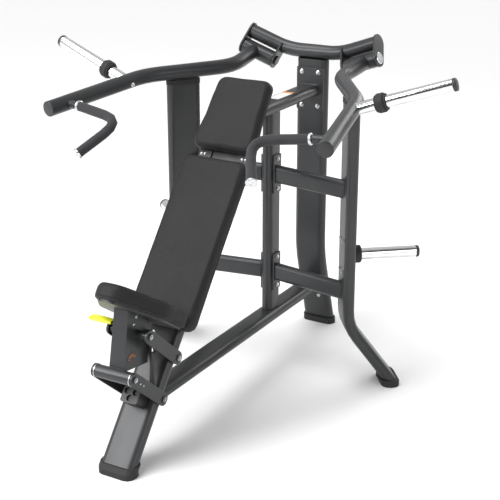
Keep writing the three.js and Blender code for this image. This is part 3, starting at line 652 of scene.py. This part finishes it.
cushion("back_cushion", "back_pad", "root", BACK, 42,
        [(36, 1), (42, -2), (70, -1), (83, 4), (89, 12)], on_pad, FORWARD, 36,
        [(10, 92), (-2, 44)], 0.005, 0.0055)
cushion("head_cushion", "head_pad", "root", HEAD, 38,
        [(29, 0), (36, -3), (58, -2), (69, 3), (74, 11)], on_pad, FORWARD, 29,
        [(9, 76), (-3, 37)], 0.005, 0.005)
cushion("seat_cushion", "seat_pad", "carriage", SEAT, 34,
        [(-60, 1), (-53, -2), (-18, -1), (-6, 4), (-1, 12)], on_cushion, SEAT_UP, -60,
        [(10, 1), (-2, -51)], 0.005, 0.005)


# ------------------------------------------------------------ frame details
UPPER_BEAM_Z = 1180
COLUMN_PLATE_Y = 689.7
COLUMN_BOLT_X, COLUMN_BOLT_Z = 30 * 1.35, 75
CROSSBAR_Z = (883, 433)
FLANGE_X = 33.3
FLANGE_BOLT_Z = 67
POST_BOLT_Y, POST_BOLT_Z = 24, (532, 668)


def frame_fasteners():
    fasteners = bmesh.new()
    beads = bmesh.new()
    for x in (-COLUMN_BOLT_X, COLUMN_BOLT_X):
        for z in (-COLUMN_BOLT_Z, COLUMN_BOLT_Z):
            bolt(fasteners, at(x, COLUMN_PLATE_Y, UPPER_BEAM_Z + 5 + z), -Y, 10)
    weld(beads, oval(101, 51), lambda u, v: at(u, COLUMN_PLATE_Y - 0.5, UPPER_BEAM_Z + v), 3)
    for side in (1, -1):
        for z in CROSSBAR_Z:
            for up in (-FLANGE_BOLT_Z, FLANGE_BOLT_Z):
                bolt(fasteners, at(side * FLANGE_X, 336, z + up), X * side, 8.5)
            weld(beads, oval(81, 41), lambda u, v: at(side * (FLANGE_X + 0.8), 326 + v, z + u), 2.6)
        for z in POST_BOLT_Z:
            for y in (-POST_BOLT_Y, POST_BOLT_Y):
                bolt(fasteners, on_post(-25, y, z, side), post_way(-1, 0, 0, side), 7.5)
    bolt(fasteners, at(62.4, 698, 193), -Y, 7.5)
    finish_piece("frame_bolts", fasteners, "root", ZINC)
    finish_piece("frame_welds", beads, "root", WELD)


frame_fasteners()


def label(name, body, corners, lift, band_share):
    """A blank film label with a plain coloured band and no lettering."""
    a, b, c, d = corners
    normal = (b - a).cross(d - a).normalized()
    layers = [("_film", 0.0, LABEL), ("_band", 1 - band_share, LABEL_BAND)]
    for part, low, material in layers:
        bm = bmesh.new()
        height = lift + (0.0003 if part == "_band" else 0)
        quad = [a.lerp(d, low), b.lerp(c, low), c, d]
        top = [bm.verts.new(p + normal * height) for p in quad]
        bottom = [bm.verts.new(p - normal * 0.0002) for p in quad]
        bm.faces.new(top)
        bm.faces.new(list(reversed(bottom)))
        for i in range(4):
            j = (i + 1) % 4
            bm.faces.new([bottom[i], bottom[j], top[j], top[i]])
        finish_piece(name + part, bm, body, material)


BEAM_TOP = 1205
LABEL_CORNERS = [(-26, 352), (24, 352), (24, 500), (-26, 500)]
label("beam_label", "root", [at(x, y, BEAM_TOP) for x, y in LABEL_CORNERS], 0.0004, 0.16)
CARRIAGE_FACE = 32
DIAL = at(CARRIAGE_FACE, -774, 449)
DIAL_RADIUS = 0.030
DIAL_HOLLOW = 0.36
TICK_REACH = (0.015, 0.026)


def dial_way(degrees):
    return Vector((0, math.sin(math.radians(degrees)), math.cos(math.radians(degrees))))


def carriage_dial():
    """A dark arched scale with plain orange ticks and no figures."""
    dial = bmesh.new()
    arc = [DIAL + dial_way(a) * DIAL_RADIUS for a in range(-84, 85, 6)]
    rim = arc + [DIAL + dial_way(a) * DIAL_RADIUS * DIAL_HOLLOW for a in range(84, -85, -12)]
    front, rear = [[dial.verts.new(p + X * lift) for p in rim] for lift in (0.0008, -0.0002)]
    dial.faces.new(front)
    dial.faces.new(list(reversed(rear)))
    for i in range(len(rim)):
        j = (i + 1) % len(rim)
        dial.faces.new([rear[i], rear[j], front[j], front[i]])
    finish_piece("carriage_dial", dial, "carriage", FINISH["plastic"])
    ticks = bmesh.new()
    for angle in range(-66, 67, 22):
        ends = [DIAL + X * 0.0009 + dial_way(angle) * r for r in TICK_REACH]
        tube(ticks, ends, 0.0016, sides=6)
    finish_piece("carriage_dial_ticks", ticks, "carriage", TICK)


carriage_dial()

# ----------------------------------------------------------- arms and horns
HORN_ROOT = Vector((522, 25, 1284))
HORN_TIP = Vector((908, 84, 1413))
GRIP_END = Vector((383, -501, 1116))
GRIP_KNEE = Vector((290, -346, 1221))
STORAGE_TIP_X = 304
STORAGE_Z = 600
HORN_CAP = [(0, 4.5), (19, 4.5), (23.5, 3.2), (25.3, 0.8), (25.3, -9), (24.7, -10), (24.6, -10)]
COLLAR_AT = 104
COLLAR_REAR_LIP = [(24.9, -7), (31, -7), (33.5, -5), (34, 0), (24.9, 0)]
COLLAR_FRONT_LIP = [(24.9, 30), (31, 30), (33, 32), (33, 36), (31, 38), (24.9, 38)]
HORN_BOLT_BACK = 30.6
GRIP_CAP_END = 10.3

for name, side in (("left", 1), ("right", -1)):
    body = f"{name}_arm"
    way = flip(HORN_TIP - HORN_ROOT, side).normalized()
    root, tip = flip(HORN_ROOT, side), flip(HORN_TIP, side)
    caps = bmesh.new()
    lathe(caps, HORN_CAP, at(*tip), way, 48)
    finish_piece(f"{name}_horn_end_cap", caps, body, FINISH["plastic"])
    steps = bmesh.new()
    collar = root + way * COLLAR_AT
    lathe(steps, COLLAR_REAR_LIP, at(*collar), way, 48)
    lathe(steps, COLLAR_FRONT_LIP, at(*collar), way, 48)
    finish_piece(f"{name}_horn_collar_lips", steps, body, FINISH["rubber"])
    screws = bmesh.new()
    bolt(screws, at(*(root - way * HORN_BOLT_BACK)), -way, 9)
    finish_piece(f"{name}_horn_bolt", screws, body, FINISH["chrome"])
    end_way = flip(GRIP_END - GRIP_KNEE, side).normalized()
    buttons = bmesh.new()
    button_screw(buttons, at(*(flip(GRIP_END, side) + end_way * GRIP_CAP_END)), end_way, 6)
    finish_piece(f"{name}_grip_screw", buttons, body, FINISH["chrome"])

    storage_way = post_way(1, 0, 0, side)
    caps = bmesh.new()
    lathe(caps, HORN_CAP, on_post(STORAGE_TIP_X, 0, STORAGE_Z, side), storage_way, 48)
    finish_piece(f"{name}_storage_end_cap", caps, "root", FINISH["plastic"])

# ------------------------------------------------------ carriage and linkage
LOWER_PIN = Vector((0, -837.7135, 409.1369))
LOWER_PIVOT = Vector((0, -657.1728, 251.2172))
UPPER_PIN = Vector((0, -733.7536, 539.8325))
UPPER_PIVOT = Vector((0, -553.2129, 381.9128))
PIN_END = 95.8
LINK_FACE = 90.5
PIN_WASHER = [(7, -0.1), (9.5, -0.1), (9.5, 0.9), (7, 0.9), (7, -0.1)]
BAR_LIP = [(24.6, 0), (26.4, 0), (26.4, 3), (24.6, 3), (24.6, 0)]
BAR_LIP_X = 77
pin_bolts = {"root": bmesh.new(), "lower_links": bmesh.new(), "carriage": bmesh.new()}
PINS = [("root", LOWER_PIVOT), ("root", UPPER_PIVOT), ("lower_links", LOWER_PIN), ("carriage", UPPER_PIN)]
for body, pin in PINS:
    for side in (1, -1):
        bolt(pin_bolts[body], at(side * PIN_END, pin.y, pin.z), X * side, 6, washer=False)
        lathe(pin_bolts[body], PIN_WASHER, at(side * PIN_END, pin.y, pin.z), X * side, 28)
link_way = (LOWER_PIVOT - LOWER_PIN).normalized()
for side in (1, -1):
    for distance in (44, 68):
        spot = LOWER_PIN + link_way * distance
        button_screw(pin_bolts["lower_links"], at(side * LINK_FACE, spot.y, spot.z), X * side, 4)
    for y, z in ((-735, 610), (-752, 585)):
        button_screw(pin_bolts["carriage"], at(side * CARRIAGE_FACE, y, z), X * side, 7)
    lathe(pin_bolts["carriage"], BAR_LIP, at(side * BAR_LIP_X, LOWER_PIN.y, LOWER_PIN.z), X * side, 40)
for body, made in pin_bolts.items():
    finish_piece(f"{body}_linkage_bolts", made, body, ZINC)


def oval_ring(centre, half_y, half_z, steps=32):
    """A flattened superellipse in the Y-Z plane, in mm."""
    ring = []
    for i in range(steps):
        a = 2 * math.pi * i / steps
        c, s = math.cos(a), math.sin(a)
        y = half_y * math.copysign(abs(c) ** 0.7, c)
        z = half_z * math.copysign(abs(s) ** 0.8, s)
        ring.append(at(centre.x, centre.y + y, centre.z + z))
    return ring


LEVER_Y, LEVER_Z = -764, 581.5
# (x, half width, half height) along the lever.
LEVER_OUTSIDE = [(-52, 17, 6.2), (-56, 18.5, 7.2), (-80, 20, 7.6), (-110, 21.5, 7.6), (-136, 22, 7.2),
                 (-148, 20.5, 6.2), (-154, 17, 4.8), (-158, 10, 2.4)]
LEVER_INSIDE = [(-52, 15, 4.6), (-70, 16, 4.8), (-96, 16, 4.6)]


def lever_sleeve():
    """Moulded sleeve, open towards the carriage and closed at its rounded outer end."""
    bm = bmesh.new()
    sections = list(reversed(LEVER_OUTSIDE)) + LEVER_INSIDE
    rings = [oval_ring(Vector((x, LEVER_Y, LEVER_Z)), a, b) for x, a, b in sections]
    made = [[bm.verts.new(p) for p in ring] for ring in rings]
    for low, high in zip(made, made[1:]):
        for i in range(len(low)):
            j = (i + 1) % len(low)
            bm.faces.new([low[i], low[j], high[j], high[i]])
    bm.faces.new(made[0])
    bm.faces.new(made[-1])
    sleeve = finish_piece("lever_sleeve", bm, "release_lever", FINISH["lever"])
    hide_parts("release_lever")
    tongue = loft([([(-12, -2), (12, -2), (12, 2), (-12, 2)], h) for h in (34, 40, 90)],
                  lambda u, v, h: at(-h, LEVER_Y + u, LEVER_Z + v))
    finish_piece("lever_tongue", tongue, "release_lever", FINISH["frame"])


lever_sleeve()


BRACKET = [(58, 1302), (116, 1302), (116, 1352), (58, 1352)]
BRACKET_LAYERS = (25.4, 26, 28.5, 29)
BRACKET_BOLT_X = (87, 103)
BRACKET_BOLT_UP = 1317


def head_pad_brackets():
    """A plate under each lower corner of the head pad, held by two bolts."""
    brackets = bmesh.new()
    bolts = bmesh.new()
    plan = rounded_plan(BRACKET, 9)
    for side in (1, -1):
        placed = loft([(plan, h) for h in BRACKET_LAYERS], lambda u, v, h: on_spine(side * u, h, v))
        mesh = bpy.data.meshes.new("bracket_part")
        placed.to_mesh(mesh)
        placed.free()
        brackets.from_mesh(mesh)
        for x in BRACKET_BOLT_X:
            bolt(bolts, on_spine(side * x, BRACKET_LAYERS[-1], BRACKET_BOLT_UP), FORWARD, 5.5)
    finish_piece("head_pad_brackets", brackets, "root", FINISH["plastic"])
    finish_piece("head_pad_bolts", bolts, "root", ZINC)


head_pad_brackets()


# -------------------------------------------------------- camera and studio
def aimed_camera(place, yaw, pitch, lens):
    data = bpy.data.cameras.new("camera")
    data.sensor_width = 36
    data.lens = lens
    data.clip_end = 100
    camera = bpy.data.objects.new("camera", data)
    camera.location = place
    camera.rotation_euler = (math.radians(90 - pitch), 0, math.radians(yaw))
    bpy.context.scene.collection.objects.link(camera)
    bpy.context.scene.camera = camera


CAMERA_YAW, CAMERA_PITCH, CAMERA_LENS = 30.0247, 20.0805, 84.344
aimed_camera(at(2366.45, -3942.25, 2311.56), CAMERA_YAW, CAMERA_PITCH, CAMERA_LENS)


def area_light(name, place, target, size, power):
    data = bpy.data.lights.new(name, "AREA")
    data.shape = "RECTANGLE"
    data.size, data.size_y = size
    data.energy = power
    light = bpy.data.objects.new(name, data)
    light.location = place
    light.rotation_euler = (Vector(target) - Vector(place)).to_track_quat("-Z", "Y").to_euler()
    bpy.context.scene.collection.objects.link(light)


def sun_light(name, direction, strength, spread_degrees):
    data = bpy.data.lights.new(name, "SUN")
    data.energy = strength
    data.angle = math.radians(spread_degrees)
    light = bpy.data.objects.new(name, data)
    light.rotation_euler = Vector(direction).to_track_quat("-Z", "Y").to_euler()
    bpy.context.scene.collection.objects.link(light)


sun_light("overhead", (0.25, 0.3, -1.0), 2.4, 40)
area_light("key", (-3.2, -4.6, 3.8), (0, -0.4, 0.6), (3.0, 3.0), 260)
area_light("fill", (4.5, -2.4, 2.6), (0, 0, 0.8), (3.0, 3.0), 70)
area_light("back", (1.0, 4.6, 3.0), (0, 0, 0.9), (3.0, 2.0), 70)

TOWARDS_CAMERA = (0.5, -0.8, 0.33)


def studio_world(sides, front, seen):
    """Bright all round and dim on the camera's side, so round metal shows dark and light bands."""
    world = bpy.data.worlds.new("studio")
    world.use_nodes = True
    tree = world.node_tree
    background = tree.nodes["Background"]
    way = node(tree, "ShaderNodeTexCoord").outputs["Generated"]
    inputs = {0: way, 1: TOWARDS_CAMERA}
    facing = node(tree, "ShaderNodeVectorMath", inputs, operation="DOT_PRODUCT")
    lit = spread(tree, facing.outputs["Value"], sides, front, 0.1, 0.75)
    ray = node(tree, "ShaderNodeLightPath").outputs["Is Camera Ray"]
    strength = node(tree, "ShaderNodeMix", {"Factor": ray, "A": lit, "B": seen})
    tree.links.new(strength.outputs["Result"], background.inputs["Strength"])
    background.inputs["Color"].default_value = (1, 1, 1, 1)
    bpy.context.scene.world = world


studio_world(0.62, 0.06, 1.0)
bpy.context.scene.view_settings.view_transform = "Standard"

HALF_FLOOR = 40
FLOOR_CORNERS = [(-1, -1), (1, -1), (1, 1), (-1, 1)]
floor_mesh = bpy.data.meshes.new("floor")
floor_mesh.from_pydata([(x * HALF_FLOOR, y * HALF_FLOOR, 0) for x, y in FLOOR_CORNERS], [], [(0, 1, 2, 3)])
floor = bpy.data.objects.new("floor", floor_mesh)
floor.location.z = -0.0005
bpy.context.scene.collection.objects.link(floor)
floor.data.materials.append(shader("studio_floor", (0.86, 0.86, 0.86), 0.7)[0])
